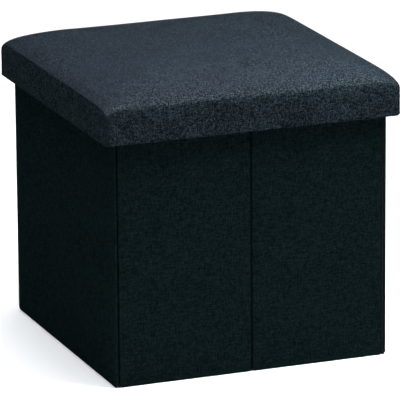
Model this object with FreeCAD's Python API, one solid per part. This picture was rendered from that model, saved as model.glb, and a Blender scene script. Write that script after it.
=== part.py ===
"""Folding storage ottoman: a cloth-covered cube with a padded lift-off lid.

Frame: millimetres, +Z up, origin on the floor at the centre of the footprint.
-Y is the front, which has a fold line down its middle, and so has the back.
The left wall is at -X and the right wall at +X; both stay flat when it folds.

How it goes together
  walls   six MDF boards, each in a sewn pocket of cover cloth outside and
          lining cloth inside. Left and right walls run the full depth. The
          front and the back are two half boards each, between the side walls.
          Strips of cloth (webs) are the hinges: at the inner corners, and at
          the outer face in the middle of the front and the back.
  base    a hardboard sheet in a cloth sleeve that lies on the floor inside the
          walls, hinged by a cloth strip to the foot of the left wall.
  lid     an MDF board on a rim of four MDF strips, with a foam pad on top, a
          cover stapled inside the rim, and a lining.
"""

import FreeCAD, Part
import os
import math
from FreeCAD import Vector as V

# ---- driving dimensions, mm ----
LID_W = 380.0            # lid outside, X and Y
BODY_W = 352.0           # walls outside, X and Y
TOTAL_H = 371.0          # floor to the middle of the crowned lid

COVER_T = 0.8            # cover cloth of the walls
BOARD_T = 3.0            # MDF of the walls
LINING_T = 0.4           # lining cloth of the walls
WALL_T = COVER_T + BOARD_T + LINING_T
WALL_H = 326.0           # walls, floor to top edge
CORNER_R = 5.0           # rounded lower corners of each wall
TOP_R = 2.5              # rounded upper corners of each wall
CORNER_GAP = 1.2         # half board to side wall
CENTRE_GAP = 2.0         # between two half boards

HINGE_OFF = 0.5          # corner fold axis, out from the side wall's inner face
CENTRE_OFF = 0.3         # middle fold axis, out from the outer face

BASE_T = 3.6             # hardboard with its sleeve
BASE_SLEEVE = 0.3
BASE_GAP = 4.5           # base to walls, all round

SKIRT_Z = 303.0          # lower edge of the lid
LID_COVER_T = 1.0
HEM_H = 14.0             # how far the cover turns up inside the rim
RIM_T = 10.0
RIM_Z0 = SKIRT_Z + LID_COVER_T
LID_LINING_T = 0.5
CEILING_Z = 326.5        # under the lid's lining
LID_BOARD_Z0 = CEILING_Z + LID_LINING_T
LID_BOARD_T = 5.0
LID_PROFILE = [          # the crown: distance in from the side, height
    (0.0, 333.2), (1.2, 342.0), (5.0, 349.2), (10.0, 353.2), (20.0, 358.8), (40.0, 365.4), (77.0, 370.0), (115.0, 370.75), (190.0, 371.0)]
LID_CORNER_R = 7.0       # rounding of the lid's upright corners

os.makedirs("parts", exist_ok=True)
HALF_BODY = BODY_W / 2.0
HALF_LID = LID_W / 2.0
INNER = HALF_BODY - WALL_T          # inner face of a wall
shapes = {}


def box(x0, x1, y0, y1, z0, z1):
    return Part.makeBox(x1 - x0, y1 - y0, z1 - z0, V(x0, y0, z0))


def upright_edges(shape):
    out = []
    for e in shape.Edges:
        a, b = e.Vertexes[0].Point, e.Vertexes[-1].Point
        if abs(a.x - b.x) < 1e-6 and abs(a.y - b.y) < 1e-6 and abs(a.z - b.z) > 1e-6:
            out.append(e)
    return out


def panel(length, t, h, z0, r_low, r_top, inset=0.0):
    """A wall board lying along X from 0 to length, from y = 0 to t, with its lower and upper corners rounded in its own plane."""
    x0, x1, za, zb = inset, length - inset, z0 + inset, z0 + h - inset
    rl, rt = max(r_low - inset, 0.5), max(r_top - inset, 0.5)
    s = math.sqrt(0.5)

    def arc(cx, cz, r, a0, a1):
        am = 0.5 * (a0 + a1)
        p = [V(cx + r * math.cos(a), 0, cz + r * math.sin(a)) for a in (a0, am, a1)]
        return Part.Arc(*p).toShape()

    pi = math.pi
    edges = [
        Part.LineSegment(V(x0 + rl, 0, za), V(x1 - rl, 0, za)).toShape(),
        arc(x1 - rl, za + rl, rl, -pi / 2, 0),
        Part.LineSegment(V(x1, 0, za + rl), V(x1, 0, zb - rt)).toShape(),
        arc(x1 - rt, zb - rt, rt, 0, pi / 2),
        Part.LineSegment(V(x1 - rt, 0, zb), V(x0 + rt, 0, zb)).toShape(),
        arc(x0 + rt, zb - rt, rt, pi / 2, pi),
        Part.LineSegment(V(x0, 0, zb - rt), V(x0, 0, za + rl)).toShape(),
        arc(x0 + rl, za + rl, rl, pi, 3 * pi / 2),
    ]
    face = Part.Face(Part.Wire(edges))
    return face.extrude(V(0, t, 0))


def wall_set(name, length, place):
    """Cover, board and lining of one wall. Local frame: X along the wall, y = 0 the outer face, y = WALL_T the inner face."""
    outer = panel(length, WALL_T - LINING_T, WALL_H, 0.0, CORNER_R, TOP_R)
    pocket = panel(length, BOARD_T, WALL_H, 0.0, CORNER_R, TOP_R, COVER_T)
    pocket.translate(V(0, COVER_T, 0))
    cover = outer.cut(pocket)
    board = pocket.copy()
    lining = panel(length, LINING_T, WALL_H, 0.0, CORNER_R, TOP_R, 0.2)
    lining.translate(V(0, WALL_T - LINING_T, 0))
    for kind, s in (("cover", cover), ("board", board), ("lining", lining)):
        s = s.copy()
        s.Placement = place.multiply(s.Placement)
        shapes[name + "_" + kind] = s


def pose(x, y, turn):
    return FreeCAD.Placement(V(x, y, 0), FreeCAD.Rotation(V(0, 0, 1), turn))


# ---- walls ----
# Left wall: outer face at -X. Local X runs along -Y, local +Y along +X.
wall_set("left_wall", BODY_W, pose(-HALF_BODY, HALF_BODY, -90))
wall_set("right_wall", BODY_W, pose(HALF_BODY, -HALF_BODY, 90))
half_len = INNER - CORNER_GAP - CENTRE_GAP / 2.0
# Front halves: outer face at -Y, local X along +X.
wall_set("front_left", half_len, pose(-INNER + CORNER_GAP, -HALF_BODY, 0))
wall_set("front_right", half_len, pose(CENTRE_GAP / 2.0, -HALF_BODY, 0))
# Back halves: outer face at +Y, local X along -X.
wall_set("back_right", half_len, pose(INNER - CORNER_GAP, HALF_BODY, 180))
wall_set("back_left", half_len, pose(-CENTRE_GAP / 2.0, HALF_BODY, 180))

# ---- cloth hinges ----
WEB_T = 0.7
web_z0, web_z1 = CORNER_R + 3.0, WALL_H - TOP_R - 3.0
for sx, side in ((-1, "left"), (1, "right")):
    for sy, end in ((-1, "front"), (1, "back")):
        xs = sorted((sx * INNER, sx * (INNER - CORNER_GAP)))
        ys = sorted((sy * INNER, sy * (INNER + WEB_T)))
        shapes["corner_web_%s_%s" % (end, side)] = box(xs[0], xs[1], ys[0], ys[1], web_z0, web_z1)
for sy, end in ((-1, "front"), (1, "back")):
    ys = sorted((sy * HALF_BODY, sy * (HALF_BODY - WEB_T)))
    shapes["centre_web_%s" % end] = box(-CENTRE_GAP / 2, CENTRE_GAP / 2, ys[0], ys[1], web_z0, web_z1)

# ---- base ----
BH = INNER - BASE_GAP
sleeve_out = box(-BH, BH, -BH, BH, 0, BASE_T)
sleeve_out = sleeve_out.makeFillet(3.0, upright_edges(sleeve_out))
core = box(-BH + BASE_SLEEVE, BH - BASE_SLEEVE, -BH + BASE_SLEEVE, BH - BASE_SLEEVE, BASE_SLEEVE, BASE_T - BASE_SLEEVE)
core = core.makeFillet(2.7, upright_edges(core))
shapes["base_board"] = core
shapes["base_sleeve"] = sleeve_out.cut(core)
# Pull tab: a folded ribbon sewn to the base near its free edge.
TAB_W, TAB_L, TAB_T = 25.0, 46.0, 1.2
tab = box(BH - 14.0 - TAB_L, BH - 14.0, -TAB_W / 2, TAB_W / 2, BASE_T, BASE_T + TAB_T)
tab = tab.makeFillet(3.0, upright_edges(tab))
shapes["base_pull_tab"] = tab
shapes["base_hinge_web"] = box(-INNER, -BH, -BH + 12, BH - 12, 0.0, 0.6)

# ---- lid ----
RIM_OUT = HALF_LID - LID_COVER_T            # outer face of the rim strips
RIM_IN = RIM_OUT - RIM_T


def crowned(inset, z0, corner_r):
    """A square block with the lid's crowned top and rounded upright corners, drawn in by inset all over: one profile run along X and the same run along Y."""
    # half profile, from the side to the middle
    def spline(points):
        run = [0.0]
        for p, q in zip(points, points[1:]):
            run.append(run[-1] + p.distanceToPoint(q))
        c = Part.BSplineCurve()
        c.interpolate(Points=points, Parameters=run, InitialTangent=V(0, 0, 1), FinalTangent=V(-1, 0, 0), Scale=False)
        return c, run

    curve, run = spline([V(HALF_LID - d, 0, z) for d, z in LID_PROFILE])
    if inset > 0:
        moved = []
        for u in run:
            p, t = curve.value(u), curve.tangent(u)[0]
            n = V(t.z, 0, -t.x)
            n.normalize()
            moved.append(p - n * inset)
        curve = spline(moved)[0]
    right = curve.toShape()
    left = right.mirror(V(0, 0, 0), V(1, 0, 0))
    half, z_side = HALF_LID - inset, LID_PROFILE[0][1]
    edges = [
        Part.LineSegment(V(-half, 0, z0), V(half, 0, z0)).toShape(),
        Part.LineSegment(V(half, 0, z0), V(half, 0, z_side)).toShape(),
        right,
        left,
        Part.LineSegment(V(-half, 0, z_side), V(-half, 0, z0)).toShape(),
    ]
    wire = Part.Wire(Part.__sortEdges__(edges))
    along = Part.Face(wire).extrude(V(0, 4 * half, 0))
    along.translate(V(0, -2 * half, 0))
    cross = along.copy()
    cross.rotate(V(0, 0, 0), V(0, 0, 1), 90)
    b = box(-half, half, -half, half, z0, TOTAL_H + 1)
    b = b.makeFillet(corner_r, upright_edges(b))
    return b.common(along).common(cross)


outer = crowned(0.0, SKIRT_Z, LID_CORNER_R)
inner = crowned(LID_COVER_T, RIM_Z0, LID_CORNER_R - LID_COVER_T)
board_top = LID_BOARD_Z0 + LID_BOARD_T
foam = inner.common(box(-HALF_LID, HALF_LID, -HALF_LID, HALF_LID, board_top, TOTAL_H + 5))
shapes["lid_foam"] = foam

lid_board = inner.common(box(-HALF_LID, HALF_LID, -HALF_LID, HALF_LID, LID_BOARD_Z0, board_top))

# Rim: front and back strips run the full width, side strips fit between them.
rim_env = inner.common(box(-HALF_LID, HALF_LID, -HALF_LID, HALF_LID, RIM_Z0, LID_BOARD_Z0))
rim_ring = rim_env.cut(box(-RIM_IN, RIM_IN, -RIM_IN, RIM_IN, RIM_Z0 - 1, LID_BOARD_Z0 + 1))
rims = {
    "lid_rim_front": rim_ring.common(box(-HALF_LID, HALF_LID, -HALF_LID, -RIM_IN, 0, 400)),
    "lid_rim_back": rim_ring.common(box(-HALF_LID, HALF_LID, RIM_IN, HALF_LID, 0, 400)),
    "lid_rim_left": rim_ring.common(box(-HALF_LID, -RIM_IN, -RIM_IN, RIM_IN, 0, 400)),
    "lid_rim_right": rim_ring.common(box(RIM_IN, HALF_LID, -RIM_IN, RIM_IN, 0, 400)),
}

# Lining: ceiling under the board, with four aprons down the inside of the rim.
lin_out = box(-RIM_IN, RIM_IN, -RIM_IN, RIM_IN, RIM_Z0 + HEM_H, LID_BOARD_Z0)
lin_in = box(-RIM_IN + LID_LINING_T, RIM_IN - LID_LINING_T, -RIM_IN + LID_LINING_T, RIM_IN - LID_LINING_T, RIM_Z0 + HEM_H - 1, CEILING_Z)
shapes["lid_lining"] = lin_out.cut(lin_in)

# Cover: shell over foam, board and rim; its hem turns under the rim and up inside it.
cover = outer.cut(inner)
HEM_IN = RIM_IN - LID_COVER_T
cover = cover.cut(box(-HEM_IN, HEM_IN, -HEM_IN, HEM_IN, SKIRT_Z - 1, RIM_Z0 + 1))
hem = box(-RIM_IN, RIM_IN, -RIM_IN, RIM_IN, RIM_Z0, RIM_Z0 + HEM_H).cut(box(-HEM_IN, HEM_IN, -HEM_IN, HEM_IN, RIM_Z0 - 1, RIM_Z0 + HEM_H + 1))
cover = cover.fuse(hem).removeSplitter()
shapes["lid_cover"] = cover


# ---- staples ----
def staple(width, leg, wire):
    """A wire staple: crown along X at z from -wire to 0, legs down to -leg."""
    s = box(-width / 2, width / 2, -wire / 2, wire / 2, -wire, 0)
    for x in (-width / 2, width / 2 - wire):
        s = s.fuse(box(x, x + wire, -wire / 2, wire / 2, -leg, -wire * 0.5))
    return s.removeSplitter()


def placed(s, pos, rot):
    s = s.copy()
    s.Placement = FreeCAD.Placement(pos, rot)
    return s


Z = V(0, 0, 1)
rim_mid = (RIM_OUT + RIM_IN) / 2
staples = []
for k in (-135.0, -45.0, 45.0, 135.0):
    for side in (0, 1, 2, 3):
        a = side * 90
        pos = FreeCAD.Rotation(Z, a).multVec(V(k, -rim_mid, board_top))
        staples.append(placed(staple(10.0, 18.0, 1.0), pos, FreeCAD.Rotation(Z, a)))
shapes["rim_staples"] = Part.makeCompound(staples)
allst = staples[0].fuse(staples[1:])
lid_board = lid_board.cut(allst)
for k in rims:
    rims[k] = rims[k].cut(allst)

# Hem staples: driven outwards through the hem into the rim, crowns 0.2 proud of the hem.
hem_staples = []
for k in (-150.0, -90.0, -30.0, 30.0, 90.0, 150.0):
    for side in (0, 1, 2, 3):
        # crown along X, legs pointing to -Y (outwards for the front rim)
        base = staple(9.0, 6.0, 0.6)
        r = FreeCAD.Rotation(V(1, 0, 0), -90)       # -Z -> -Y
        pos = V(k, -(HEM_IN - 0.2), RIM_Z0 + 7.5)
        s = base.copy()
        s.Placement = FreeCAD.Placement(pos, r)
        m = FreeCAD.Placement(V(0, 0, 0), FreeCAD.Rotation(Z, side * 90))
        s.Placement = m.multiply(s.Placement)
        hem_staples.append(s)
shapes["hem_staples"] = Part.makeCompound(hem_staples)
allh = hem_staples[0].fuse(hem_staples[1:])
shapes["lid_cover"] = shapes["lid_cover"].cut(allh)
for k in rims:
    rims[k] = rims[k].cut(allh)
shapes["lid_board"] = lid_board
shapes.update(rims)

# ---- write ----
bb = FreeCAD.BoundBox()
for name in sorted(shapes):
    s = shapes[name]
    solids = s.Solids
    ok = all(x.isValid() and x.Volume > 0 for x in solids)
    if not solids or not ok:
        print("BAD", name, len(solids), s.isValid())
    bb.add(s.BoundBox)
    out = solids[0] if len(solids) == 1 else Part.makeCompound(solids)
    out.exportStep("parts/%s.step" % name)
    print("%-26s solids %2d volume %10.1f" % (name, len(solids), sum(x.Volume for x in solids)))
print("box", round(bb.XMin, 2), round(bb.XMax, 2), round(bb.YMin, 2), round(bb.YMax, 2), round(bb.ZMin, 2), round(bb.ZMax, 2), "nodes", len(shapes))
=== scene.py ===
import math

import bmesh
import bpy
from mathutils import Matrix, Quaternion, Vector, noise


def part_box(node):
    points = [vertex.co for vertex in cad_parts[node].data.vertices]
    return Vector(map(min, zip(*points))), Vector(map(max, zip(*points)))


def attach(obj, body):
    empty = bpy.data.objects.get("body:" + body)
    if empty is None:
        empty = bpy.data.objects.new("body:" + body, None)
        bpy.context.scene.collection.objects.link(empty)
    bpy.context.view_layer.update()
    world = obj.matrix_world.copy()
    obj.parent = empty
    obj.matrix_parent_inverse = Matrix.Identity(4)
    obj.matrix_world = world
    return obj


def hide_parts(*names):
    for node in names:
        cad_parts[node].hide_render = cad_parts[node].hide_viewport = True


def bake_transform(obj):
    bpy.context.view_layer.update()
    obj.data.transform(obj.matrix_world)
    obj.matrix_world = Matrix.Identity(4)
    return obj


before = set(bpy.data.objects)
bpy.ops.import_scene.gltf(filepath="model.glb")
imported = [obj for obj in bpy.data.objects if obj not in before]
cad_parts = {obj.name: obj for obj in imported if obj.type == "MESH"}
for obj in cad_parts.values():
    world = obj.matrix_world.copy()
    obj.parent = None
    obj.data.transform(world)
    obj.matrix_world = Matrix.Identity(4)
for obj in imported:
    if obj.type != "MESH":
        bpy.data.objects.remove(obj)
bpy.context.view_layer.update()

MM = 0.001
PI = math.pi

# ---------------------------------------------------------------- camera
AZ, EL, DIST = math.radians(-21.223), math.radians(15.764), 5.7915
TARGET = Vector((0.0, 0.0, 0.16916))
EYE = TARGET + DIST * Vector((math.sin(AZ) * math.cos(EL), -math.cos(AZ) * math.cos(EL), math.sin(EL)))
cam_data = bpy.data.cameras.new("view")
cam_data.lens = 422.7
cam_data.sensor_width = 36.0
cam_data.shift_x = 0.00465
cam_data.clip_end = 100.0
cam = bpy.data.objects.new("view", cam_data)
cam.location = EYE
cam.rotation_euler = ((TARGET - EYE).to_track_quat("-Z", "Y") @ Quaternion((0.0, 0.0, 1.0), math.radians(-0.456))).to_euler()
bpy.context.scene.collection.objects.link(cam)
bpy.context.scene.camera = cam
bpy.context.scene.view_settings.view_transform = "Standard"
bpy.context.scene.view_settings.look = "None"


# ---------------------------------------------------------------- materials
class Nodes:
    """Short calls for building one material."""

    def __init__(self, name):
        self.mat = bpy.data.materials.new(name)
        self.mat.use_nodes = True
        self.t = self.mat.node_tree
        self.t.nodes.clear()
        self.out = self.t.nodes.new("ShaderNodeOutputMaterial")
        self.bsdf = self.t.nodes.new("ShaderNodeBsdfPrincipled")
        self.t.links.new(self.bsdf.outputs[0], self.out.inputs[0])

    def node(self, kind, **props):
        n = self.t.nodes.new(kind)
        for k, v in props.items():
            setattr(n, k, v)
        return n

    def link(self, a, b):
        self.t.links.new(a, b)

    def put(self, value, socket):
        if hasattr(value, "is_output"):
            self.link(value, socket)
        else:
            socket.default_value = value

    def math(self, op, a, b=None, c=None):
        n = self.node("ShaderNodeMath", operation=op)
        self.put(a, n.inputs[0])
        if b is not None:
            self.put(b, n.inputs[1])
        if c is not None:
            self.put(c, n.inputs[2])
        return n.outputs[0]

    def combine(self, x, y, z):
        n = self.node("ShaderNodeCombineXYZ")
        for v, s in zip((x, y, z), n.inputs):
            self.put(v, s)
        return n.outputs[0]

    def noise(self, vector, scale, detail=2.0, rough=0.5):
        n = self.node("ShaderNodeTexNoise")
        self.link(vector, n.inputs["Vector"])
        n.inputs["Scale"].default_value = scale
        n.inputs["Detail"].default_value = detail
        n.inputs["Roughness"].default_value = rough
        return n.outputs["Fac"]

    def ramp(self, fac, stops, mode="LINEAR"):
        n = self.node("ShaderNodeValToRGB")
        self.link(fac, n.inputs["Fac"])
        e = n.color_ramp.elements
        n.color_ramp.interpolation = mode
        while len(e) > 1:
            e.remove(e[-1])
        e[0].position, e[0].color = stops[0][0], (*stops[0][1], 1)
        for p, c in stops[1:]:
            x = e.new(p)
            x.color = (*c, 1)
        return n.outputs["Color"]

    def mix(self, fac, a, b, mode="MIX"):
        n = self.node("ShaderNodeMix", data_type="RGBA", blend_type=mode)
        self.put(fac, n.inputs[0])
        self.put(a if hasattr(a, "is_output") else (*a, 1), n.inputs[6])
        self.put(b if hasattr(b, "is_output") else (*b, 1), n.inputs[7])
        return n.outputs[2]

    def bump(self, height, distance, strength, normal=None):
        n = self.node("ShaderNodeBump")
        n.inputs["Distance"].default_value = distance
        n.inputs["Strength"].default_value = strength
        self.link(height, n.inputs["Height"])
        if normal is not None:
            self.link(normal, n.inputs["Normal"])
        return n.outputs[0]

    def uv(self):
        n = self.node("ShaderNodeUVMap", uv_map="UVMap")
        s = self.node("ShaderNodeSeparateXYZ")
        self.link(n.outputs[0], s.inputs[0])
        return n.outputs[0], s.outputs[0], s.outputs[1]

    def obj(self):
        return self.node("ShaderNodeTexCoord").outputs["Object"]


def woven(name, dark, mid, light, pitch, rough, spec, sheen, sheen_rough, tint, fleck=0.5, streak=0.5, relief=0.25, mottle=1.0, dash=2.4, clump=1.3, bright=1.0):
    """A plain-weave cloth of mixed yarn. dark, mid and light are the yarn's colours, pitch the thread spacing in metres, dash how many crossings one colour of yarn lasts, clump how strongly like yarns gather, bright the tone at which a yarn is fully light."""
    m = Nodes(name)
    uv, u, v = m.uv()
    k = 1.0 / pitch
    wob_a, wob_b = m.noise(uv, 45.0, 2.0), m.noise(m.combine(v, u, 3.0), 45.0, 2.0)
    uu = m.math("ADD", u, m.math("MULTIPLY_ADD", wob_a, pitch * 1.6, -pitch * 0.8))
    vv = m.math("ADD", v, m.math("MULTIPLY_ADD", wob_b, pitch * 1.6, -pitch * 0.8))
    cu, cv = m.math("MULTIPLY", uu, k), m.math("MULTIPLY", vv, k)
    iu, iv = m.math("FLOOR", cu), m.math("FLOOR", cv)
    over = m.math("FLOORED_MODULO", m.math("ADD", iu, iv), 2.0)

    def white(x, y, z):
        n = m.node("ShaderNodeTexWhiteNoise", noise_dimensions="3D")
        m.link(m.combine(x, y, z), n.inputs["Vector"])
        return n.outputs["Value"]

    # yarn colour, one value for each dash along each thread
    start_u, start_v = white(iu, 0.0, 11.0), white(0.0, iv, 12.0)
    warp = white(iu, m.math("FLOOR", m.math("MULTIPLY_ADD", start_u, 7.0, m.math("MULTIPLY", cv, 1.0 / dash))), 1.0)
    weft = white(m.math("FLOOR", m.math("MULTIPLY_ADD", start_v, 7.0, m.math("MULTIPLY", cu, 1.0 / dash))), iv, 2.0)
    yarn = m.math("MULTIPLY_ADD", over, m.math("SUBTRACT", weft, warp), warp)
    # thick and thin places along the threads
    slub_w = m.noise(m.combine(m.math("MULTIPLY", iu, 0.83), m.math("MULTIPLY", cv, 0.06), 0.0), 1.0, 2.0, 0.6)
    slub_f = m.noise(m.combine(m.math("MULTIPLY", cu, 0.06), m.math("MULTIPLY", iv, 0.83), 5.0), 1.0, 2.0, 0.6)
    slub = m.math("MULTIPLY_ADD", over, m.math("SUBTRACT", slub_f, slub_w), slub_w)
    soft = m.noise(m.combine(m.math("MULTIPLY", cu, 0.55), m.math("MULTIPLY", cv, 0.55), 9.0), 1.0, 2.0, 0.6)
    hair = m.noise(m.combine(m.math("MULTIPLY", cu, 5.0), m.math("MULTIPLY", cv, 5.0), 4.0), 1.0, 2.0, 0.7)
    broad = m.noise(uv, 14.0, 3.0, 0.6)
    tone = m.math("MULTIPLY", m.math("SUBTRACT", yarn, 0.5), 0.9 * fleck)
    tone = m.math("ADD", tone, m.math("MULTIPLY", m.math("SUBTRACT", soft, 0.5), clump * fleck))
    tone = m.math("ADD", tone, m.math("MULTIPLY", m.math("SUBTRACT", slub, 0.5), 1.6 * streak))
    tone = m.math("ADD", tone, m.math("MULTIPLY", m.math("SUBTRACT", hair, 0.5), 0.35))
    tone = m.math("ADD", tone, m.math("MULTIPLY_ADD", m.math("SUBTRACT", broad, 0.5), 0.30 * mottle, 0.5))
    colour = m.ramp(tone, [(0.08, dark), (0.5, mid), (bright, light)])
    # each crossing is a small bead, long the way its thread runs; the bead shape makes the bump and also darkens the
    # base colour between crossings as painted shade
    su = m.math("ABSOLUTE", m.math("SINE", m.math("MULTIPLY", cu, PI)))
    sv = m.math("ABSOLUTE", m.math("SINE", m.math("MULTIPLY", cv, PI)))
    bead_w = m.math("MULTIPLY", m.math("POWER", su, 0.9), m.math("POWER", sv, 0.35))
    bead_f = m.math("MULTIPLY", m.math("POWER", su, 0.35), m.math("POWER", sv, 0.9))
    bead = m.math("MULTIPLY_ADD", over, m.math("SUBTRACT", bead_f, bead_w), bead_w)
    shade = m.math("MULTIPLY_ADD", bead, 0.62, 0.45)
    m.link(m.mix(1.0, colour, m.combine(shade, shade, shade), "MULTIPLY"), m.bsdf.inputs["Base Color"])
    height = m.math("ADD", m.math("MULTIPLY", bead, 0.8), m.math("ADD", m.math("MULTIPLY", slub, 0.8), m.math("MULTIPLY", hair, 0.18)))
    m.link(m.bump(height, relief * MM, 0.8), m.bsdf.inputs["Normal"])
    m.link(m.math("MULTIPLY_ADD", yarn, -0.12, rough + 0.06), m.bsdf.inputs["Roughness"])
    m.bsdf.inputs["Specular IOR Level"].default_value = spec
    m.bsdf.inputs["Sheen Weight"].default_value = sheen
    m.bsdf.inputs["Sheen Roughness"].default_value = sheen_rough
    m.bsdf.inputs["Sheen Tint"].default_value = (*tint, 1)
    return m.mat


def bonded(name, low, high):
    """Thin bonded lining cloth: matted fibres with rows of small pressed dots."""
    m = Nodes(name)
    uv, u, v = m.uv()
    pitch = 0.0021
    a = m.math("SINE", m.math("MULTIPLY", m.math("ADD", u, v), PI / pitch))
    b = m.math("SINE", m.math("MULTIPLY", m.math("SUBTRACT", u, v), PI / pitch))
    dots = m.math("POWER", m.math("ABSOLUTE", m.math("MULTIPLY", a, b)), 3.0)
    fibre = m.noise(m.combine(m.math("MULTIPLY", u, 900.0), m.math("MULTIPLY", v, 260.0), 0.0), 1.0, 4.0, 0.7)
    broad = m.noise(uv, 18.0, 3.0)
    tone = m.math("ADD", m.math("MULTIPLY", fibre, 0.88), m.math("MULTIPLY", broad, 0.12))
    m.link(m.ramp(tone, [(0.3, low), (0.7, high)]), m.bsdf.inputs["Base Color"])
    height = m.math("SUBTRACT", m.math("MULTIPLY", fibre, 0.6), dots)
    m.link(m.bump(height, 0.12 * MM, 0.6), m.bsdf.inputs["Normal"])
    m.link(m.math("MULTIPLY_ADD", fibre, -0.15, 0.85), m.bsdf.inputs["Roughness"])
    m.bsdf.inputs["Specular IOR Level"].default_value = 0.12
    m.bsdf.inputs["Sheen Weight"].default_value = 0.03
    return m.mat


def fibreboard(name, low, high, fine=1.0):
    """Pressed wood fibre: short fibres, darker specks, a slightly waxy face."""
    m = Nodes(name)
    p = m.obj()
    a = m.noise(p, 700.0 * fine, 4.0, 0.7)
    b = m.noise(p, 45.0, 3.0, 0.6)
    c = m.noise(p, 260.0 * fine, 2.0, 0.8)
    tone = m.math("ADD", m.math("MULTIPLY", a, 0.45), m.math("ADD", m.math("MULTIPLY", b, 0.25), m.math("MULTIPLY", c, 0.3)))
    m.link(m.ramp(tone, [(0.35, low), (0.62, high)]), m.bsdf.inputs["Base Color"])
    m.link(m.bump(a, 0.15 * MM, 0.5), m.bsdf.inputs["Normal"])
    m.link(m.math("MULTIPLY_ADD", c, 0.2, 0.6), m.bsdf.inputs["Roughness"])
    m.bsdf.inputs["Specular IOR Level"].default_value = 0.25
    return m.mat


def cell_foam(name, low, high):
    m = Nodes(name)
    p = m.obj()
    v = m.node("ShaderNodeTexVoronoi")
    m.link(p, v.inputs["Vector"])
    v.inputs["Scale"].default_value = 900.0
    b = m.noise(p, 30.0, 3.0)
    # The colour darkens towards each cell's middle, where the bump makes a pit: painted shade in the foam's pores,
    # mixed with random tone.
    m.link(m.ramp(m.math("ADD", m.math("MULTIPLY", v.outputs["Distance"], 0.6), m.math("MULTIPLY", b, 0.4)), [(0.1, low), (0.7, high)]), m.bsdf.inputs["Base Color"])
    m.link(m.bump(v.outputs["Distance"], 0.4 * MM, 0.8), m.bsdf.inputs["Normal"])
    m.bsdf.inputs["Roughness"].default_value = 0.95
    m.bsdf.inputs["Specular IOR Level"].default_value = 0.1
    return m.mat


def wire(name):
    m = Nodes(name)
    p = m.obj()
    a = m.noise(p, 1200.0, 3.0)
    m.link(m.ramp(a, [(0.3, (0.42, 0.42, 0.43)), (0.7, (0.68, 0.68, 0.69))]), m.bsdf.inputs["Base Color"])
    m.link(m.math("MULTIPLY_ADD", a, 0.3, 0.25), m.bsdf.inputs["Roughness"])
    m.link(m.bump(a, 0.02 * MM, 0.4), m.bsdf.inputs["Normal"])
    m.bsdf.inputs["Metallic"].default_value = 1.0
    return m.mat


def thread(name, colour):
    m = Nodes(name)
    p = m.obj()
    a = m.noise(p, 2500.0, 2.0)
    m.link(m.ramp(a, [(0.3, tuple(0.6 * c for c in colour)), (0.7, colour)]), m.bsdf.inputs["Base Color"])
    m.link(m.bump(a, 0.05 * MM, 0.5), m.bsdf.inputs["Normal"])
    m.bsdf.inputs["Roughness"].default_value = 0.6
    m.bsdf.inputs["Specular IOR Level"].default_value = 0.03
    return m.mat


LID_YARN = (0.0019, 0.0030, 0.0035), (0.0064, 0.0098, 0.0116), (0.0343, 0.0510, 0.0603)
# The top panel's yarn is the lid's yarn made darker: painted shade on the lid's top. The strip round its edge and the
# skirt keep the lid's own, lighter yarn.
TOP_YARN_PAINTED_SHADE = (0.0009, 0.0015, 0.0018), (0.0034, 0.0051, 0.0064), (0.0304, 0.0442, 0.0561)
TOP_CLOTH_PAINTED_SHADE = woven("lid_top_linen_painted_shade", *TOP_YARN_PAINTED_SHADE, 0.00110, 0.44, 0.019, 0.0, 0.35, (0.62, 0.62, 1.0), fleck=1.5, streak=0.5, relief=0.40, clump=3.6)
EDGE_CLOTH = woven("lid_edge_linen", *LID_YARN, 0.00110, 0.46, 0.027, 0.0, 0.35, (0.62, 0.62, 1.0), fleck=1.15, streak=0.40, relief=0.32, clump=2.4)
BAND_CLOTH = woven("lid_band_linen", *LID_YARN, 0.00110, 0.60, 0.0, 0.0, 0.35, (0.62, 0.62, 1.0), fleck=0.82, streak=0.40, relief=0.28)
WALL_YARN = (0.0011, 0.0029, 0.0032), (0.0036, 0.0080, 0.0088), (0.0122, 0.0216, 0.0236)
WALL_CLOTH = woven("wall_linen", *WALL_YARN, 0.00105, 0.8, 0.0, 0.0, 0.4, (0.6, 0.8, 1.0), fleck=0.6, streak=0.65, relief=0.28, mottle=0.3, dash=3.6, clump=0.8)
WEB_CLOTH = woven("web_tape", (0.0006, 0.0014, 0.0017), (0.0013, 0.0027, 0.0032), (0.0034, 0.006, 0.0068), 0.0008, 0.8, 0.0, 0.0, 0.5, (1, 1, 1), fleck=0.4, streak=0.7, relief=0.2)
RIBBON = woven("ribbon", (0.006, 0.007, 0.008), (0.012, 0.013, 0.015), (0.03, 0.032, 0.036), 0.0006, 0.6, 0.2, 0.05, 0.4, (0.8, 0.85, 1.0), fleck=0.3, streak=0.9, relief=0.2)
LINING = bonded("lining_cloth", (0.008, 0.008, 0.009), (0.028, 0.028, 0.030))
MDF = fibreboard("mdf_board", (0.30, 0.19, 0.10), (0.52, 0.37, 0.23))
HARDBOARD = fibreboard("hard_board", (0.13, 0.065, 0.03), (0.25, 0.14, 0.07), 0.8)
FOAM = cell_foam("pad_foam", (0.55, 0.5, 0.36), (0.82, 0.78, 0.62))
WIRE = wire("staple_wire_metal")
THREAD = thread("black_thread", (0.0030, 0.0052, 0.0060))


# ---------------------------------------------------------------- mesh helpers
def smoothstep(a, b, x):
    t = max(0.0, min(1.0, (x - a) / (b - a)))
    return t * t * (3 - 2 * t)


def lines(length, fine, step):
    """Grid lines from 0 to length: the fine ones near both ends, and about step apart between."""
    last = fine[-1]
    n = max(1, round((length - 2 * last) / step))
    return list(fine) + [last + (length - 2 * last) * k / n for k in range(1, n)] + [length - f for f in reversed(fine)]


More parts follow.
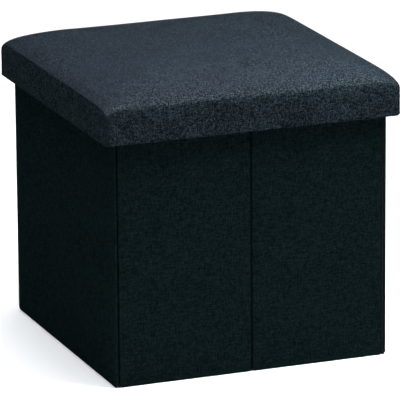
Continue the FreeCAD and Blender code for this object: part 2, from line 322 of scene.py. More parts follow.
class Sheet:
    """A mesh with a texture position at every face corner, in metres of cloth."""

    def __init__(self):
        self.v, self.f, self.uv, self.mi = [], [], [], []

    def add(self, p):
        self.v.append(tuple(p))
        return len(self.v) - 1

    def face(self, idx, uvs, mi=0):
        self.f.append(tuple(idx))
        self.uv.append([tuple(x) for x in uvs])
        self.mi.append(mi)

    def object(self, name, mats, smooth=True):
        me = bpy.data.meshes.new(name)
        me.from_pydata(self.v, [], self.f)
        layer = me.uv_layers.new(name="UVMap")
        i = 0
        for uvs in self.uv:
            for p in uvs:
                layer.data[i].uv = p
                i += 1
        for m in mats:
            me.materials.append(m)
        me.polygons.foreach_set("material_index", self.mi)
        me.polygons.foreach_set("use_smooth", [smooth] * len(me.polygons))
        me.update()
        o = bpy.data.objects.new(name, me)
        bpy.context.scene.collection.objects.link(o)
        return o


def apply_modifiers(o):
    dg = bpy.context.evaluated_depsgraph_get()
    me = bpy.data.meshes.new_from_object(o.evaluated_get(dg), preserve_all_data_layers=True, depsgraph=dg)
    o.modifiers.clear()
    old = o.data
    o.data = me
    bpy.data.meshes.remove(old)
    return o


def thicken(o, t):
    m = o.modifiers.new("thick", "SOLIDIFY")
    m.thickness = t
    m.offset = -1.0
    m.use_even_offset = False
    m.use_quality_normals = True
    return apply_modifiers(o)


def corner_map(gx, gz, L, H, rl, rh):
    """The place of a grid point in the rectangle with rounded corners, of radius rl at z = 0 and rh at z = H."""
    r = rl if gz < H / 2 else rh
    x = gx if gx < L / 2 else L - gx
    z = gz if gz < H / 2 else H - gz
    if x < r and z < r:
        s, t = (r - x) / r, (r - z) / r
        x, z = r - r * s * math.sqrt(1 - t * t / 2), r - r * t * math.sqrt(1 - s * s / 2)
    return (x if gx < L / 2 else L - x), (z if gz < H / 2 else H - z)


def edge_distance(x, z, L, H, rl, rh):
    r = rl if z < H / 2 else rh
    a, b = min(x, L - x), min(z, H - z)
    if a < r and b < r:
        return r - math.hypot(r - a, r - b)
    return min(a, b)


def loop_of(nx, nz):
    """Grid indices round the edge, anticlockwise seen with x to the right and z up."""
    return [(i, 0) for i in range(nx - 1)] + [(nx - 1, j) for j in range(nz - 1)] + [(i, nz - 1) for i in range(nx - 1, 0, -1)] + [(0, j) for j in range(nz - 1, 0, -1)]


def loop_normals(pts, corner_of):
    """Outward directions in the plane for a closed loop of points."""
    n = len(pts)
    out = []
    for k in range(n):
        ax, az = pts[k - 1]
        bx, bz = pts[(k + 1) % n]
        tx, tz = bx - ax, bz - az
        d = math.hypot(tx, tz) or 1.0
        out.append((tz / d, -tx / d))
    return out


def stitches(sheet, path, up, length=2.8 * MM, gap=1.1 * MM, r=0.22 * MM, mi=0, lift=0.1 * MM):
    """A row of thread stitches along a polyline, each a small bowed bead. up(p) is the outward direction."""
    pts = [Vector(p) for p in path]
    runs = [(pts[i], pts[i + 1]) for i in range(len(pts) - 1)]
    for a, b in runs:
        total = (b - a).length
        n = max(1, int(total / (length + gap)))
        d = (b - a).normalized()
        for k in range(n):
            s = a + d * ((k + 0.5) * total / n - length / 2)
            w = up(s).normalized()
            side = d.cross(w)
            rings = []
            for q, rad, h in ((0.0, 0.35, -0.5), (0.18, 0.95, 0.35), (0.5, 1.0, 0.6), (0.82, 0.95, 0.35), (1.0, 0.35, -0.5)):
                c = s + d * (length * q) + w * (lift + r * h)
                rings.append([sheet.add(c + (side * math.cos(t) + w * math.sin(t)) * (r * rad)) for t in [PI * 2 * j / 6 for j in range(6)]])
            for p, q in zip(rings, rings[1:]):
                for j in range(6):
                    sheet.face((p[j], p[(j + 1) % 6], q[(j + 1) % 6], q[j]), [(0, 0)] * 4, mi)
            sheet.face(tuple(reversed(rings[0])), [(0, 0)] * 6, mi)
            sheet.face(tuple(rings[-1]), [(0, 0)] * 6, mi)


def fix_normals(o):
    bm = bmesh.new()
    bm.from_mesh(o.data)
    bmesh.ops.recalc_face_normals(bm, faces=bm.faces)
    bm.to_mesh(o.data)
    bm.free()
    return o


# ---------------------------------------------------------------- wall panels
H_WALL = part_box("left_wall_cover")[1].z
T_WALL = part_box("left_wall_lining")[1].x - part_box("left_wall_cover")[0].x
T_LINING = 0.4 * MM
R_LOW, R_TOP = 5.0 * MM, 2.5 * MM
ROLL = 1.7 * MM
FINE = [x * MM for x in (0, 0.14, 0.4, 0.75, 1.2, 1.7, 2.5, 3.6, 5.0, 8.0, 12.0)]


def places():
    """For each wall: its length and the map from (along, depth, height) to the row frame."""
    out = {}
    lo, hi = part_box("left_wall_cover")
    out["left_wall"] = (hi.y - lo.y, lambda x, y, z, a=lo.x, b=hi.y: (a + y, b - x, z))
    lo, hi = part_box("right_wall_cover")
    out["right_wall"] = (hi.y - lo.y, lambda x, y, z, a=hi.x, b=lo.y: (a - y, b + x, z))
    for n in ("front_left", "front_right"):
        lo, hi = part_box(n + "_cover")
        out[n] = (hi.x - lo.x, lambda x, y, z, a=lo.x, b=lo.y: (a + x, b + y, z))
    for n in ("back_left", "back_right"):
        lo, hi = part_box(n + "_cover")
        out[n] = (hi.x - lo.x, lambda x, y, z, a=hi.x, b=hi.y: (a - x, b - y, z))
    return out


def dent(x, z, seed, L, H):
    """How far the cloth lies back from its outermost plane, in metres: slow waves from pull in the cloth."""
    w = 0.5 + 0.5 * noise.noise(Vector((x * 11.0, z * 7.0, seed * 3.1)))
    w2 = 0.5 + 0.5 * noise.noise(Vector((x * 34.0, z * 26.0, seed * 5.7 + 4)))
    edge = smoothstep(0.0, 10 * MM, min(x, L - x, z, H - z))
    return (0.26 * w + 0.09 * w2) * MM * edge


PLACES = places()
for seed, (wall, (L, put)) in enumerate(PLACES.items()):
    H = H_WALL
    xs, zs = lines(L, FINE, 6 * MM), lines(H, FINE, 6 * MM)
    nx, nz = len(xs), len(zs)
    s = Sheet()
    idx = {}
    for i, gx in enumerate(xs):
        for j, gz in enumerate(zs):
            x, z = corner_map(gx, gz, L, H, R_LOW, R_TOP)
            d = edge_distance(x, z, L, H, R_LOW, R_TOP)
            y = ROLL - math.sqrt(max(0.0, ROLL ** 2 - max(0.0, ROLL - d) ** 2)) + dent(x, z, seed, L, H)
            idx[i, j] = s.add(put(x, y, z))
    for i in range(nx - 1):
        for j in range(nz - 1):
            s.face((idx[i, j], idx[i + 1, j], idx[i + 1, j + 1], idx[i, j + 1]), [(xs[i], zs[j]), (xs[i + 1], zs[j]), (xs[i + 1], zs[j + 1]), (xs[i], zs[j + 1])])
    ring = loop_of(nx, nz)
    flat = [corner_map(xs[i], zs[j], L, H, R_LOW, R_TOP) for i, j in ring]
    nrm = loop_normals(flat, None)
    prev = [idx[k] for k in ring]
    prev_uv = [(xs[i], zs[j]) for i, j in ring]
    run = 0.0
    D = T_WALL - T_LINING
    # (inset, depth): round the edge, then turned in under the lining
    rounds = [(0.0, (ROLL + D) / 2 - 0.15 * MM), (0.0, D - 0.4 * MM), (0.12 * MM, D - 0.12 * MM), (0.4 * MM, D + 0.02 * MM), (2.2 * MM, D + 0.03 * MM), (4.5 * MM, D + 0.03 * MM)]
    last = (0.0, ROLL)
    for o_in, y in rounds:
        run += math.hypot(o_in - last[0], y - last[1])
        last = (o_in, y)
        cur, cur_uv = [], []
        for (px, pz), (ax, az) in zip(flat, nrm):
            qx = min(max(px - ax * o_in, o_in), L - o_in)
            qz = min(max(pz - az * o_in, o_in), H - o_in)
            cur.append(s.add(put(qx, y, qz)))
            cur_uv.append((px + ax * run, pz + az * run))
        n = len(cur)
        for k in range(n):
            m = (k + 1) % n
            s.face((prev[k], cur[k], cur[m], prev[m]), [prev_uv[k], cur_uv[k], cur_uv[m], prev_uv[m]])
        prev, prev_uv = cur, cur_uv
    o = s.object(wall + "_cloth", [WALL_CLOTH])
    thicken(o, 0.35 * MM)
    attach(o, wall)
    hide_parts(wall + "_cover")

    # lining on the inner face, sewn round its edge
    s = Sheet()
    inset = 1.0 * MM
    lx, lz = lines(L - 2 * inset, [0, 0.3 * MM, 1 * MM, 3 * MM, 4.5 * MM, 6 * MM], 9 * MM), lines(H - 2 * inset, [0, 0.3 * MM, 1 * MM, 3 * MM, 4.5 * MM, 6 * MM], 9 * MM)
    idx = {}
    for i, gx in enumerate(lx):
        for j, gz in enumerate(lz):
            x, z = corner_map(gx, gz, L - 2 * inset, H - 2 * inset, R_LOW - inset, R_TOP - inset)
            d = min(gx, L - 2 * inset - gx, gz, H - 2 * inset - gz)
            back = 0.06 * MM * (0.5 + 0.5 * noise.noise(Vector((x * 15, z * 12, seed * 2.2 + 9))))
            back += 0.16 * MM * math.exp(-((d - 3 * MM) / (1.1 * MM)) ** 2) + 0.2 * MM * (1 - smoothstep(0, 0.6 * MM, d))
            idx[i, j] = s.add(put(inset + x, T_WALL - back, inset + z))
    for i in range(len(lx) - 1):
        for j in range(len(lz) - 1):
            q = [(i, j), (i, j + 1), (i + 1, j + 1), (i + 1, j)]
            s.face([idx[k] for k in q], [(lx[k[0]], lz[k[1]]) for k in q])
    o = s.object(wall + "_lining_cloth", [LINING, THREAD])
    thicken(o, 0.22 * MM)
    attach(o, wall)
    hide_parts(wall + "_lining")
    s = Sheet()
    e = inset + 3 * MM
    y = T_WALL - 0.16 * MM
    a, b, c, d = put(e, y, e), put(L - e, y, e), put(L - e, y, H - e), put(e, y, H - e)
    inward = Vector(put(0, 1, 0)) - Vector(put(0, 0, 0))
    stitches(s, [a, b, c, d, a], lambda p, w=inward: w, lift=-0.02 * MM, r=0.2 * MM)
    o = s.object(wall + "_lining_stitches", [THREAD])
    fix_normals(o)
    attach(o, wall)


# ---------------------------------------------------------------- cloth hinges
def strip(name, across, z0, z1, thick, mats, wave=0.12 * MM, step=3 * MM, seam=None):
    """A thin closed strip of cloth. across is its section, a list of (x, y); it runs from z0 to z1."""
    s = Sheet()
    n = max(2, round((z1 - z0) / step))
    front, back = [], []
    secs = len(across)
    nr = []
    for k in range(secs):
        a, b = across[max(0, k - 1)], across[min(secs - 1, k + 1)]
        tx, ty = b[0] - a[0], b[1] - a[1]
        d = math.hypot(tx, ty)
        nr.append((ty / d, -tx / d))
    for j in range(n + 1):
        z = z0 + (z1 - z0) * j / n
        f, g = [], []
        for k, (x, y) in enumerate(across):
            inside = 0 < k < secs - 1
            w = wave * noise.noise(Vector((x * 50, y * 50, z * 60))) if inside else 0.0
            f.append(s.add((x + nr[k][0] * w, y + nr[k][1] * w, z)))
            g.append(s.add((x + nr[k][0] * (w - thick), y + nr[k][1] * (w - thick), z)))
        front.append(f)
        back.append(g)
    width = [0.0]
    for k in range(1, secs):
        width.append(width[-1] + math.hypot(across[k][0] - across[k - 1][0], across[k][1] - across[k - 1][1]))
    zz = [z0 + (z1 - z0) * j / n for j in range(n + 1)]
    for j in range(n):
        for k in range(secs - 1):
            uv = [(width[k], zz[j]), (width[k + 1], zz[j]), (width[k + 1], zz[j + 1]), (width[k], zz[j + 1])]
            s.face((front[j][k], front[j][k + 1], front[j + 1][k + 1], front[j + 1][k]), uv)
            s.face((back[j][k], back[j + 1][k], back[j + 1][k + 1], back[j][k + 1]), [uv[0], uv[3], uv[2], uv[1]])
        for k in (0, secs - 1):
            q = (front[j][k], front[j + 1][k], back[j + 1][k], back[j][k])
            s.face(q if k == 0 else tuple(reversed(q)), [(width[k], zz[j])] * 4)
    for j in (0, n):
        for k in range(secs - 1):
            q = (front[j][k], back[j][k], back[j][k + 1], front[j][k + 1])
            s.face(q if j == 0 else tuple(reversed(q)), [(width[k], zz[j])] * 4)
    if seam is not None:
        (x, y), up = seam
        stitches(s, [(x, y, z0 + 2 * MM), (x, y, z1 - 2 * MM)], lambda p: Vector((up[0], up[1], 0)), length=3.2 * MM, gap=0.9 * MM, r=0.2 * MM, mi=1, lift=0.05 * MM)
    o = s.object(name, mats)
    return fix_normals(o)


JOINED = {("front_left", "front_right"), ("left_wall", "front_left"), ("front_right", "right_wall"), ("left_wall", "back_left"), ("back_left", "back_right")}
Z0, Z1 = 6.5 * MM, H_WALL - 4 * MM
for end, sy in (("front", -1), ("back", 1)):
    lo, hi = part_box("centre_web_" + end)
    y_out = lo.y if sy < 0 else hi.y
    y = y_out - sy * 0.75 * MM
    half = hi.x + 1.1 * MM
    pts = [(sx * half, y) for sx in (-1, -0.6, -0.25, 0.25, 0.6, 1)]
    pts[2] = (pts[2][0], y - sy * 0.25 * MM)
    pts[3] = (pts[3][0], y - sy * 0.25 * MM)
    if sy > 0:
        pts = pts[::-1]
    o = strip("centre_fold_" + end, pts, Z0 - 2 * MM, Z1, 0.35 * MM, [WEB_CLOTH, THREAD], seam=((0.0, y - sy * 0.2 * MM), (0, sy)))
    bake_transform(o)
    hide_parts("centre_web_" + end)
    for side, sx in (("left", -1), ("right", 1)):
        node = "corner_web_%s_%s" % (end, side)
        lo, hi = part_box(node)
        x_wall = lo.x if sx < 0 else hi.x
        x_half = hi.x if sx < 0 else lo.x
        ym = 0.5 * (lo.y + hi.y)
        pts = [(x_wall + sx * 0.35 * MM, ym), (x_wall - sx * 0.1 * MM, ym + sy * 0.05 * MM), (0.5 * (x_wall + x_half), ym + sy * 0.22 * MM), (x_half + sx * 0.1 * MM, ym + sy * 0.05 * MM), (x_half - sx * 0.35 * MM, ym)]
        o = strip("corner_fold_%s_%s" % (end, side), pts, Z0, Z1, 0.3 * MM, [WEB_CLOTH])
        wall, halfb = side + "_wall", end + "_" + side
        a, b = (x_wall, ym, 0.1), (x_half, ym, 0.1)
        if (wall, halfb) in JOINED:
            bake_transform(o)
            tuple(a)
            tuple(b)
        elif (halfb, wall) in JOINED:
            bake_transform(o)
            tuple(b)
            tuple(a)
        else:
            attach(o, wall)
        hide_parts(node)


# ---------------------------------------------------------------- floor board
lo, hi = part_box("base_sleeve")
W, T = hi.x - lo.x, hi.z - lo.z
s = Sheet()
RB = 0.3 * MM
fine = [x * MM for x in (0, 0.05, 0.12, 0.3, 0.8, 1.8, 3.0, 5.0, 9.0)]
g = lines(W, fine, 9 * MM)
n = len(g)


def sleeve_z(x, y, top):
    d = edge_distance(x, y, W, W, 3 * MM, 3 * MM)
    bow = T / 2 - RB + math.sqrt(max(0.0, RB ** 2 - max(0.0, RB - d) ** 2))
    w = 0.12 * MM * (0.5 + 0.5 * noise.noise(Vector((x * 16, y * 16, 7.0 if top else 3.0)))) * smoothstep(1.8 * MM, 12 * MM, d)
    return T / 2 + (bow - w) * (1 if top else -1)


top, bot = {}, {}
for i, gx in enumerate(g):
    for j, gy in enumerate(g):
        x, y = corner_map(gx, gy, W, W, 3 * MM, 3 * MM)
        top[i, j] = s.add((lo.x + x, lo.y + y, lo.z + sleeve_z(x, y, True)))
        bot[i, j] = s.add((lo.x + x, lo.y + y, lo.z + sleeve_z(x, y, False)))
for i in range(n - 1):
    for j in range(n - 1):
        q = [(i, j), (i + 1, j), (i + 1, j + 1), (i, j + 1)]
        s.face([top[k] for k in q], [(g[k[0]], g[k[1]]) for k in q])
        s.face([bot[k] for k in reversed(q)], [(g[k[0]], W + g[k[1]]) for k in reversed(q)])
rim_loop = loop_of(n, n)
for k in range(len(rim_loop)):
    a, b = rim_loop[k], rim_loop[(k + 1) % len(rim_loop)]
    ua, ub = g[a[0]] + g[a[1]], g[b[0]] + g[b[1]]
    s.face((top[a], bot[a], bot[b], top[b]), [(ua, T), (ua, 0), (ub, 0), (ub, T)])
base_cloth = s.object("base_sleeve_cloth", [LINING])
thicken(base_cloth, 0.2 * MM)
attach(base_cloth, "base")
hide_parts("base_sleeve")
s = Sheet()
e = 5 * MM
zt = hi.z - 0.06 * MM
stitches(s, [(lo.x + e, lo.y + e, zt), (hi.x - e, lo.y + e, zt), (hi.x - e, hi.y - e, zt), (lo.x + e, hi.y - e, zt), (lo.x + e, lo.y + e, zt)], lambda p: Vector((0, 0, 1)), lift=-0.02 * MM)
o = s.object("base_stitches", [THREAD])
fix_normals(o)
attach(o, "base")

# pull ribbon: doubled, its two ends sewn to the sleeve
lo_t, hi_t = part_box("base_pull_tab")
RW = hi_t.y - lo_t.y
z0 = lo_t.z
th = 0.45 * MM
x_in, x_fold = hi_t.x, lo_t.x
path = []
for k in range(13):
    x = x_in + (x_fold + 1 * MM - x_in) * k / 12
    path.append((x, z0 + th + 0.05 * MM + 0.12 * MM * math.sin(PI * k / 12)))
for k in range(1, 6):
    a = -PI / 2 - PI * k / 6
    path.append((x_fold + 1 * MM + 0.42 * MM * math.cos(a), z0 + th + 0.47 * MM + 0.42 * MM * math.sin(a)))
for k in range(13):
    x = x_fold + 1 * MM + (x_in - x_fold - 1 * MM) * k / 12
    path.append((x, z0 + th + 0.89 * MM + (0.9 * MM) * math.sin(PI * k / 12) ** 1.5))
s = Sheet()
ys = [lo_t.y + RW * k / 8 for k in range(9)]
acc, run = [0.0], 0.0
for p, q in zip(path, path[1:]):
    run += math.hypot(q[0] - p[0], q[1] - p[1])
    acc.append(run)
grid = [[s.add((x, y, z)) for y in ys] for x, z in path]
for i in range(len(path) - 1):
    for j in range(8):
        s.face((grid[i][j], grid[i][j + 1], grid[i + 1][j + 1], grid[i + 1][j]), [(ys[j], acc[i]), (ys[j + 1], acc[i]), (ys[j + 1], acc[i + 1]), (ys[j], acc[i + 1])])
ribbon = s.object("pull_ribbon", [RIBBON])
thicken(ribbon, 0.4 * MM)
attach(ribbon, "base")
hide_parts("base_pull_tab")
s = Sheet()
zr = z0 + th + 0.95 * MM
xa, xb, ya, yb = x_in - 2 * MM, x_in - 13 * MM, lo_t.y + 2.5 * MM, hi_t.y - 2.5 * MM
stitches(s, [(xa, ya, zr), (xb, ya, zr + 0.3 * MM), (xb, yb, zr + 0.3 * MM), (xa, yb, zr), (xa, ya, zr), (xb, yb, zr + 0.3 * MM)], lambda p: Vector((0, 0, 1)), lift=0.12 * MM, r=0.22 * MM)
o = s.object("pull_ribbon_stitches", [THREAD])
fix_normals(o)
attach(o, "base")

# hinge strip of the floor board
lo_h, hi_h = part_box("base_hinge_web")
s = Sheet()
zh = lo_h.z + 0.17 * MM
xsn = [lo_h.x - 0.3 * MM + (hi_h.x - lo_h.x + 0.9 * MM) * k / 8 for k in range(9)]
ysn = [lo_h.y + (hi_h.y - lo_h.y) * k / 80 for k in range(81)]
gr = [[s.add((x, y, zh + 0.03 * MM * noise.noise(Vector((x * 200, y * 60, 0))))) for y in ysn] for x in xsn]
for i in range(8):
    for j in range(80):
        s.face((gr[i][j], gr[i + 1][j], gr[i + 1][j + 1], gr[i][j + 1]), [(xsn[i], ysn[j]), (xsn[i + 1], ysn[j]), (xsn[i + 1], ysn[j + 1]), (xsn[i], ysn[j + 1])])
o = s.object("base_fold", [WEB_CLOTH])
thicken(o, 0.13 * MM)
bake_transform(o)
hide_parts("base_hinge_web")


# ---------------------------------------------------------------- lid
lo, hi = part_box("lid_cover")
LH = hi.x                      # half width of the lid
Z_SKIRT = lo.z
Z_TOP = hi.z
Z_SHOULDER = 333.2 * MM        # the sides are upright up to here
RV = 24.4 * MM                 # height of the rounded edge
RH = 64.4 * MM                 # its depth in from the side
EDGE_POWER = 3.52              # how tightly the edge turns at the side
CROWN = Z_TOP - Z_SHOULDER - RV
R_PLAN = 7.0 * MM
SWELL = 2.0 * MM               # what the simulated swelling may add
W = 2 * LH


def shoulder(d, r, p=EDGE_POWER):
    """0 at the side, 1 at r or more in from it, upright at the side."""
    if d >= r:
        return 1.0
    return (1 - (1 - d / r) ** p) ** (1 / p)


def lid_height(gx, gy, inset=0.0, crown=CROWN):
    dx, dy = min(gx, W - gx), min(gy, W - gy)
    u, v = (gx - LH) / LH, (gy - LH) / LH
    bow = (1 - abs(u) ** 2.2) * (1 - abs(v) ** 2.2)
    edge = shoulder(dx, RH) * shoulder(dy, RH)
    soft = smoothstep(0, 76.7 * MM, dx) * smoothstep(0, 76.7 * MM, dy)
    return Z_SHOULDER + RV * edge + crown * (0.18 * bow + 0.82 * soft ** 0.7) * edge


FINE_LID = [x * MM for x in (0, 0.5, 1.2, 2.2, 3.4, 5.0, 7.0, 9.4, 12.2, 15.4, 19.0, 23.5, 29.0)]
gl = lines(W, FINE_LID, 5.5 * MM)
nl = len(gl)


def lid_plan(gx, gy):
    x, y = corner_map(gx, gy, W, W, R_PLAN, R_PLAN)
    return x - LH, y - LH


def along_profile():
    """Length of cloth from the middle of the lid to each grid line."""
    acc = [0.0]
    for a, b in zip(gl, gl[1:]):
        acc.append(acc[-1] + math.hypot(b - a, lid_height(b, LH) - lid_height(a, LH)))
    return [x - acc[-1] / 2 for x in acc]


arc = along_profile()
REACH = arc[-1]


def swelled():
    """The pad's surface after its cloth is blown up a little by simulation: how far each grid point moves."""
    s = Sheet()
    ids = {}
    for i, gx in enumerate(gl):
        for j, gy in enumerate(gl):
            x, y = lid_plan(gx, gy)
            ids[i, j] = s.add((x, y, lid_height(gx, gy, crown=CROWN - SWELL)))
    for i in range(nl - 1):
        for j in range(nl - 1):
            s.face((ids[i, j], ids[i + 1, j], ids[i + 1, j + 1], ids[i, j + 1]), [(0, 0)] * 4)
    ring = loop_of(nl, nl)
    low = [s.add((s.v[ids[k]][0], s.v[ids[k]][1], Z_SHOULDER - 20 * MM)) for k in ring]
    m = len(ring)
    for k in range(m):
        a, b = ring[k], ring[(k + 1) % m]
        s.face((ids[a], low[k], low[(k + 1) % m], ids[b]), [(0, 0)] * 4)
    c = s.add((0, 0, Z_SHOULDER - 20 * MM))
    for k in range(m):
        s.face((low[(k + 1) % m], low[k], c), [(0, 0)] * 3)
    o = s.object("swell", [])
    pins = o.vertex_groups.new(name="pin")
    for (i, j), v in ids.items():
        d = min(gl[i], W - gl[i], gl[j], W - gl[j])
        pins.add([v], 1.0 - smoothstep(2 * MM, 22 * MM, d), "REPLACE")
    pins.add(low + [c], 1.0, "REPLACE")
    mod = o.modifiers.new("cloth", "CLOTH")
    st = mod.settings
    st.quality = 6
    st.mass = 0.25
    st.tension_stiffness = st.compression_stiffness = 12
    st.shear_stiffness = 6
    st.bending_stiffness = 0.6
    st.tension_damping = st.compression_damping = st.shear_damping = 8
    st.use_pressure = True
    st.uniform_pressure_force = 4.0
    st.vertex_group_mass = "pin"
    st.effector_weights.gravity = 0
    mod.collision_settings.use_collision = False
    mod.collision_settings.use_self_collision = False
    mod.point_cache.frame_start = 1
    mod.point_cache.frame_end = 20
    sc = bpy.context.scene
    start = [Vector(v) for v in s.v]
    for f in range(1, 21):
        sc.frame_set(f)
    dg = bpy.context.evaluated_depsgraph_get()
    ev = o.evaluated_get(dg).data
    moved = {}
    most = 0.0
    for k, v in ids.items():
        d = ev.vertices[v].co - start[v]
        most = max(most, d.length)
        moved[k] = d
    o.modifiers.clear()
    bpy.data.objects.remove(o)
    sc.frame_set(1)
    print("swell: most", round(most * 1000, 2), "mm")
    for k, d in moved.items():
        if d.length > 1e-9:
            moved[k] = d * (SWELL * math.tanh(d.length / SWELL) / d.length)
    return moved


MOVED = swelled()
CR = CROWN - SWELL


def lid_point(i, j):
    gx, gy = gl[i], gl[j]
    x, y = lid_plan(gx, gy)
    p = Vector((x, y, lid_height(gx, gy, crown=CR))) + MOVED[i, j]
    d = min(gx, W - gx, gy, W - gy)
    soft = smoothstep(4 * MM, 30 * MM, d)
    p.z -= soft * 0.7 * MM * (0.5 - 0.5 * noise.noise(Vector((x * 13, y * 13, 2.0))))
    return p


s = Sheet()
ids = {}
for i in range(nl):
    for j in range(nl):
        ids[i, j] = s.add(lid_point(i, j))
for i in range(nl - 1):
    for j in range(nl - 1):
        q = [(i, j), (i + 1, j), (i + 1, j + 1), (i, j + 1)]
        d = min(gl[i + 1], W - gl[i], gl[j + 1], W - gl[j])
        # Faces within 2.3 mm of the side get the band cloth, those within 7.1 mm the edge cloth, and the rest the top
        # cloth, whose darker yarn is painted shade on the top.
        s.face([ids[k] for k in q], [(arc[k[0]], arc[k[1]]) for k in q], 1 if d < 2.3 * MM else 2 if d < 7.1 * MM else 0)

ring = loop_of(nl, nl)
plan = [lid_plan(gl[i], gl[j]) for i, j in ring]
normals = loop_normals(plan, None)
corner_at = {}
for k, (i, j) in enumerate(ring):
    if i in (0, nl - 1) and j in (0, nl - 1):
        corner_at[k] = True
        sx, sy = (1 if i else -1), (1 if j else -1)
        normals[k] = (sx * math.sqrt(0.5), sy * math.sqrt(0.5))


def near_corner(k):
    """Cloth distance along the edge from the nearest upright corner seam."""
    x, y = plan[k]
    return min(math.hypot(abs(x) - (LH - R_PLAN * (1 - math.sqrt(0.5))), abs(y) - (LH - R_PLAN * (1 - math.sqrt(0.5)))), 1.0)


# (inset from the side, height, how much of the corner seam shows)
turn = 2.6 * MM
HEM_IN = LH - (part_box("lid_lining")[1].x - 0.9 * MM)
profile = [(0.0, Z_SHOULDER - 3 * MM, 0.35), (0.0, Z_SHOULDER - 7 * MM, 0.8)]
z = Z_SHOULDER - 12 * MM
while z > Z_SKIRT + turn + 4 * MM:
    profile.append((0.0, z, 1.0))
    z -= 5 * MM
profile.append((0.0, Z_SKIRT + turn + 1.2 * MM, 1.0))
for a in (0, 22, 45, 67, 90):
    r = math.radians(a)
    profile.append((turn - turn * math.cos(r), Z_SKIRT + turn - turn * math.sin(r), 1.0 - 0.2 * a / 90))
profile += [(5.0 * MM, Z_SKIRT, 0.6), (7.6 * MM, Z_SKIRT, 0.4)]
for a in (0, 30, 60, 90):
    r = math.radians(a)
    profile.append((HEM_IN - 1.4 * MM + 1.4 * MM * math.sin(r), Z_SKIRT + 1.4 * MM - 1.4 * MM * math.cos(r), 0.2))
HEM_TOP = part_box("lid_lining")[0].z
for k in range(1, 5):
    profile.append((HEM_IN, Z_SKIRT + 1.4 * MM + (HEM_TOP + 0.5 * MM - Z_SKIRT - 1.4 * MM) * k / 4, 0.0))

prev = [ids[k] for k in ring]
along = []
for k, (i, j) in enumerate(ring):
    along.append((arc[i], arc[j]))
prev_uv_run = 0.0
last = (0.0, Z_SHOULDER)
n = len(ring)


def side_of(k):
    """Which side the stretch of edge from k to k + 1 lies on: 0 front, 1 right, 2 back, 3 left."""
    return (0, 1, 2, 3)[min(3, k // (nl - 1))]


def skirt_uv(k, side, run):
    a, b = along[k % n]
    return {0: (a, -REACH - run), 1: (REACH + run, b), 2: (a, REACH + run), 3: (-REACH - run, b)}[side]


for o_in, z, seam in profile:
    step = math.hypot(o_in - last[0], z - last[1])
    last = (o_in, z)
    cur = []
    for k in range(n):
        (px, py), (ax, ay) = plan[k], normals[k]
        dc = near_corner(k)
        groove = seam * (0.60 * MM * math.exp(-(dc / (0.9 * MM)) ** 2) - 0.10 * MM * math.exp(-((dc - 2.6 * MM) / (1.6 * MM)) ** 2)) if o_in < turn + MM else 0.0
        wave = 0.0
        if o_in == 0.0:
            t = (z - Z_SKIRT) / (Z_SHOULDER - Z_SKIRT)
            wave = 0.35 * MM * math.sin(PI * min(1, max(0, t))) * (0.5 + 0.5 * noise.noise(Vector((px * 14, py * 14, z * 22))))
        out = o_in + groove + wave
        lim = LH - max(o_in, 0.0)
        qx = min(max(px - ax * out, -lim), lim)
        qy = min(max(py - ay * out, -lim), lim)
        cur.append(s.add((qx, qy, z)))
    for k in range(n):
        m = (k + 1) % n
        sd = side_of(k)
        s.face((prev[k], cur[k], cur[m], prev[m]), [skirt_uv(k, sd, prev_uv_run), skirt_uv(k, sd, prev_uv_run + step), skirt_uv(k + 1, sd, prev_uv_run + step), skirt_uv(k + 1, sd, prev_uv_run)], 1)
    prev = cur
    prev_uv_run += step
lid_cloth = s.object("lid_upholstery", [TOP_CLOTH_PAINTED_SHADE, BAND_CLOTH, EDGE_CLOTH])
thicken(lid_cloth, 0.7 * MM)
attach(lid_cloth, "lid")
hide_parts("lid_cover")

# foam under the cloth
s = Sheet()
z_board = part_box("lid_board")[1].z
top, bot = {}, {}
sk = 1.3 * MM
for i in range(nl):
    for j in range(nl):
        p = lid_point(i, j)
        q = Vector((p.x * (LH - sk) / LH, p.y * (LH - sk) / LH, max(p.z - sk, z_board + 0.3 * MM)))
        top[i, j] = s.add(q)
        bot[i, j] = s.add((q.x, q.y, z_board + 0.02 * MM))
for i in range(nl - 1):
    for j in range(nl - 1):
        q = [(i, j), (i + 1, j), (i + 1, j + 1), (i, j + 1)]
        s.face([top[k] for k in q], [(arc[k[0]], arc[k[1]]) for k in q])
        s.face([bot[k] for k in reversed(q)], [(arc[k[0]], arc[k[1]]) for k in reversed(q)])
for k in range(len(ring)):
    a, b = ring[k], ring[(k + 1) % len(ring)]
    s.face((top[a], bot[a], bot[b], top[b]), [(0, 0)] * 4)
foam = s.object("lid_pad", [FOAM])
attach(foam, "lid")
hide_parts("lid_foam")

# lining: ceiling and four aprons
lo_l, hi_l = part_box("lid_lining")
HL = hi_l.x
s = Sheet()
gg = lines(2 * HL, [0, 1 * MM, 3 * MM, 6 * MM], 9 * MM)
m_ = len(gg)
z_ceil = hi_l.z
grid = {}
for i, gx in enumerate(gg):
    for j, gy in enumerate(gg):
        x, y = gx - HL, gy - HL
        d = min(gx, 2 * HL - gx, gy, 2 * HL - gy)
        w = 0.14 * MM * (0.5 + 0.5 * noise.noise(Vector((x * 15, y * 15, 31)))) * smoothstep(0, 8 * MM, d)
        grid[i, j] = s.add((x * (1 - 0.15 * MM / HL), y * (1 - 0.15 * MM / HL), z_ceil - 0.05 * MM - w))
for i in range(m_ - 1):
    for j in range(m_ - 1):
        q = [(i, j), (i + 1, j), (i + 1, j + 1), (i, j + 1)]
        s.face([grid[k] for k in q], [(gg[k[0]] - HL, gg[k[1]] - HL) for k in q])
rg = loop_of(m_, m_)
prev = [grid[k] for k in rg]
run = 0.0
lining_drop = hi_l.z - lo_l.z
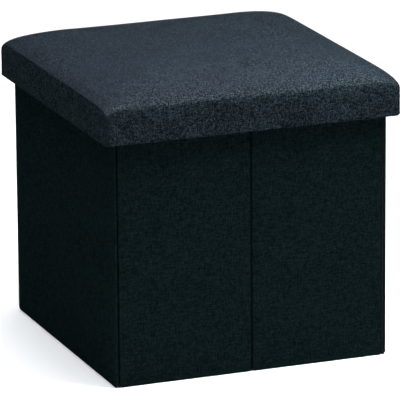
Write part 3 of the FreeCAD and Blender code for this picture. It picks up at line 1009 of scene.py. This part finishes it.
for zz in (z_ceil - 0.10 * lining_drop, z_ceil - 0.35 * lining_drop, z_ceil - 0.60 * lining_drop, z_ceil - 0.85 * lining_drop, lo_l.z + 0.2 * MM):
    stepz = lining_drop / 5
    cur = []
    for k in rg:
        x, y = gg[k[0]] - HL, gg[k[1]] - HL
        w = 1 - (0.15 * MM + 0.12 * MM * (0.5 + 0.5 * noise.noise(Vector((x * 30, y * 30, zz * 50))))) / HL
        cur.append(s.add((x * w, y * w, zz)))
    for k in range(len(rg)):
        b = (k + 1) % len(rg)
        ua, ub = gg[rg[k][0]] + gg[rg[k][1]], gg[rg[b][0]] + gg[rg[b][1]]
        s.face((prev[k], cur[k], cur[b], prev[b]), [(ua, run), (ua, run + stepz), (ub, run + stepz), (ub, run)])
    prev = cur
    run += stepz
o = s.object("lid_lining_cloth", [LINING])
thicken(o, 0.25 * MM)
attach(o, "lid")
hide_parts("lid_lining")
drop = hi_l.z - lo_l.z
side = 2 * HL + 2 * drop


# ---------------------------------------------------------------- parts kept from the CAD
def repaint(node, mat):
    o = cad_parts[node]
    o.data.materials.clear()
    o.data.materials.append(mat)


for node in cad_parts:
    if node == "base_board":
        repaint(node, HARDBOARD)
    elif node.endswith("_board") or node.startswith("lid_rim"):
        repaint(node, MDF)
    elif "staples" in node:
        repaint(node, WIRE)

# ---------------------------------------------------------------- studio
s = Sheet()
R = 14.0
q = [s.add((-R, -R, 0)), s.add((R, -R, 0)), s.add((R, R, 0)), s.add((-R, R, 0))]
s.face(q, [(0, 0), (1, 0), (1, 1), (0, 1)])
floor_mat = Nodes("studio_floor")
fp = floor_mat.obj()
floor_mat.link(floor_mat.ramp(floor_mat.noise(fp, 3.0, 2.0), [(0.3, (0.92, 0.92, 0.92)), (0.7, (0.95, 0.95, 0.95))]), floor_mat.bsdf.inputs["Base Color"])
floor_mat.bsdf.inputs["Roughness"].default_value = 0.9
floor_mat.bsdf.inputs["Specular IOR Level"].default_value = 0.0
floor = s.object("floor", [floor_mat.mat], smooth=False)
floor.location.z = -0.4 * MM

world = bpy.data.worlds.new("studio")
world.use_nodes = True
world.node_tree.nodes["Background"].inputs[0].default_value = (0.62, 0.78, 1.0, 1)
world.node_tree.nodes["Background"].inputs[1].default_value = 0.035
bpy.context.scene.world = world


def softbox(name, place, size, power, colour=(1, 1, 1), aim=(0, 0, 0.2)):
    d = bpy.data.lights.new(name, "AREA")
    d.shape = "RECTANGLE"
    d.size, d.size_y = size
    d.energy = power
    d.color = colour
    o = bpy.data.objects.new(name, d)
    o.location = place
    o.rotation_euler = (Vector(aim) - Vector(place)).to_track_quat("-Z", "Y").to_euler()
    bpy.context.scene.collection.objects.link(o)
    return o


softbox("top_light", (-0.3, -0.1, 3.6), (3.8, 3.8), 260, (0.96, 0.98, 1.0))
softbox("front_right_light", (0.29, -0.36, 0.96), (0.4, 0.4), 16.2, (0.95, 0.98, 1.0), aim=(0.19, -0.24, 0.37))
# lights that only make highlights on the lid's rounded edges
for name, place, size, power, colour in (
        ("rear_left_light", (-1.7, 2.8, 0.95), (0.8, 0.6), 9, (0.50, 0.42, 1.0)),
        ("front_edge_light", (1.05, 0.35, 3.1), (1.3, 1.3), 150, (0.92, 0.96, 1.0)),
        ("corner_light", (-0.4, 1.1, 3.0), (0.9, 0.9), 200, (0.55, 0.50, 1.0))):
    softbox(name, place, size, power, colour).visible_diffuse = False
